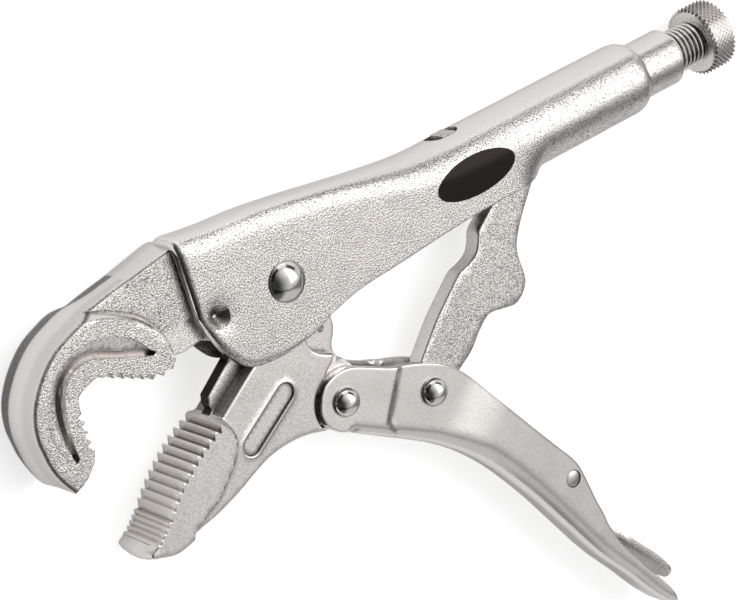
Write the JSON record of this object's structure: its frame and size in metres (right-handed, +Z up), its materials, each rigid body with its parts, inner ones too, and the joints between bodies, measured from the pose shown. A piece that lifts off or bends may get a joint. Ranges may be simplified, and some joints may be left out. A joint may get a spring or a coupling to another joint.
{
  "type": "locking pliers",
  "caption": "Self-grip locking pliers with a hooked toothed jaw, a straight toothed jaw, a toggle lever with release lever, and a knurled adjusting screw.",
  "frame": {"origin": "middle of the underside of the open pliers lying flat, at the bottom centre of their box", "axes": "+X along the handle tube from the jaws to the adjusting knob, +Y from the lever towards the back of the handle, +Z up, out of the face with the main rivet dome"},
  "size_m": [0.2268, 0.1632, 0.0228],
  "materials": {
    "plated_sheet": "satin nickel plate",
    "plated_forging": "satin nickel plate over a blasted forging",
    "plated_strip": "satin nickel plate",
    "polished_rivet": "polished",
    "plated_screw": "nickel plated thread",
    "plated_knob": "diamond knurl",
    "spring_steel": "plain spring wire"
  },
  "bodies": {
    "handle": {"handle_shell": "plated_sheet", "fixed_jaw": "plated_forging", "main_rivet": "polished_rivet", "spring_anchor": "spring_steel", "opening_spring": "spring_steel"},
    "lower_jaw": {"lower_jaw": "plated_forging"},
    "lever": {"lever": "plated_sheet", "lever_rivet": "polished_rivet", "link_rivet": "polished_rivet", "release_pin": "polished_rivet"},
    "link": {"link": "plated_forging"},
    "release_lever": {"release_lever": "plated_strip"},
    "screw_carrier": {"stop_ring": "plated_screw"},
    "screw": {"adjusting_screw": "plated_screw", "screw_knob": "plated_knob"}
  },
  "joints": [
    {"name": "jaw_pivot", "type": "hinge", "parent": "handle", "child": "lower_jaw", "pos_m": [-0.04083, 0.06002, 0.0099], "axis": [0, 0, 1], "range_deg": [-19.2, 0], "stiffness_Nm_per_rad": 0.05, "deforming": ["opening_spring"]},
    {"name": "lever_pivot", "type": "hinge", "parent": "lower_jaw", "child": "lever", "pos_m": [-0.03353, 0.02352, 0.0099], "axis": [0, 0, 1], "range_deg": [0, 50]},
    {"name": "link_pivot", "type": "hinge", "parent": "lever", "child": "link", "pos_m": [-0.00783, 0.01332, 0.0099], "axis": [0, 0, 1], "range_deg": [-44.2, 0]},
    {"name": "release_pivot", "type": "hinge", "parent": "lever", "child": "release_lever", "pos_m": [0.02527, -0.02898, 0.0099], "axis": [0, 0, 1], "range_deg": [0, 7]},
    {"name": "screw_feed", "type": "slide", "parent": "handle", "child": "screw_carrier", "axis": [1, 0, 0], "range_m": [0, 0.0058]},
    {"name": "screw_turn", "type": "hinge", "parent": "screw_carrier", "child": "screw", "pos_m": [0.10857, 0.06192, 0.0099], "axis": [1, 0, 0], "range_deg": [0, 1080]}
  ],
  "couplings": [
    {"joint": "jaw_pivot", "follows": "lever_pivot", "ratio": -0.3826},
    {"joint": "link_pivot", "follows": "lever_pivot", "ratio": -0.8819},
    {"joint": "screw_feed", "follows": "screw_turn", "m_per_rad": 0.00027852}
  ]
}
